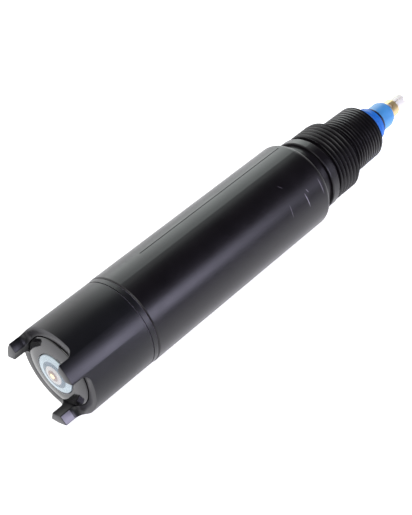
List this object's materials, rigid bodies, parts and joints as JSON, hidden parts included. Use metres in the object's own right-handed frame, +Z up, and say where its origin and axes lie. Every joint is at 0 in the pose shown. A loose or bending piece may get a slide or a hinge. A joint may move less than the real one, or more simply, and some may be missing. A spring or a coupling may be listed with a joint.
{
  "type": "water quality probe",
  "caption": "Cylindrical membrane-covered probe for water, with a pronged screw-on guard, a pipe-threaded shaft and a coaxial plug head.",
  "frame": {"origin": "on the surface it lies on, under the middle of its length", "axes": "+X along the probe's axis from the sensing end to the plug, +Z up, the probe lying on its side"},
  "size_m": [0.229, 0.04, 0.04],
  "materials": {
    "guard_plastic": "smooth satin black",
    "head_plastic": "turned satin black",
    "shaft_plastic": "finely grained black",
    "cap_plastic": "glossy black",
    "membrane_film": "clear film",
    "seal_rubber": "black nitrile",
    "cathode_gold": "lapped gold",
    "brown_resin": "cast resin",
    "white_ceramic": "ground ceramic",
    "grey_platinum": "lapped metal",
    "white_plastic": "turned white plastic",
    "anode_silver": "chlorided silver",
    "gilt_brass": "gold plated",
    "sheath_steel": "drawn tube",
    "board_laminate": "green laminate",
    "component_plastic": "moulded black",
    "lead_jacket": "extruded black",
    "wire_jacket": "extruded red",
    "shrink_sleeve": "shrunk black",
    "potting_resin": "cast black resin",
    "blue_plastic": "moulded satin blue",
    "tip_plastic": "moulded off-white"
  },
  "bodies": {
    "probe_body": {"sensor_head": "head_plastic", "sensor_shaft": "shaft_plastic", "electrode_sleeve": "white_plastic", "guard_electrode": "grey_platinum", "cathode_insulator": "white_ceramic", "cathode_bond": "brown_resin", "gold_cathode": "cathode_gold", "silver_anode": "anode_silver", "temperature_sensor": "sheath_steel", "contact_pins": "gilt_brass", "shaft_o_ring": "seal_rubber", "terminal_board": "board_laminate", "board_components": "component_plastic", "coaxial_lead": "lead_jacket", "temperature_leads": "wire_jacket", "lead_sleeve": "shrink_sleeve", "potting_plug": "potting_resin", "plug_shell": "blue_plastic", "plug_o_ring": "seal_rubber", "plug_outer_contact": "gilt_brass", "plug_insulator": "tip_plastic", "plug_inner_contact": "gilt_brass"},
    "guard_seal": {"guard_seal_ring": "seal_rubber"},
    "guard": {"protection_guard": "guard_plastic"},
    "cap_seal": {"cap_o_ring": "seal_rubber"},
    "cap": {"membrane_cap": "cap_plastic", "membrane_foil": "membrane_film", "membrane_clamp_ring": "head_plastic"}
  },
  "joints": [
    {"name": "guard_travel", "type": "slide", "parent": "probe_body", "child": "guard_seal", "axis": [-1, 0, 0], "range_m": [0, 0.008]},
    {"name": "guard_turn", "type": "hinge", "parent": "guard_seal", "child": "guard", "pos_m": [-0.0805, 0, 0.02], "axis": [-1, 0, 0], "range_deg": [0, 1440]},
    {"name": "cap_travel", "type": "slide", "parent": "probe_body", "child": "cap_seal", "axis": [-1, 0, 0], "range_m": [0, 0.0075]},
    {"name": "cap_turn", "type": "hinge", "parent": "cap_seal", "child": "cap", "pos_m": [-0.0915, 0, 0.02], "axis": [-1, 0, 0], "range_deg": [0, 1800]}
  ],
  "couplings": [
    {"joint": "guard_turn", "follows": "guard_travel", "rad_per_m": 3141.6},
    {"joint": "cap_turn", "follows": "cap_travel", "rad_per_m": 4188.8}
  ]
}
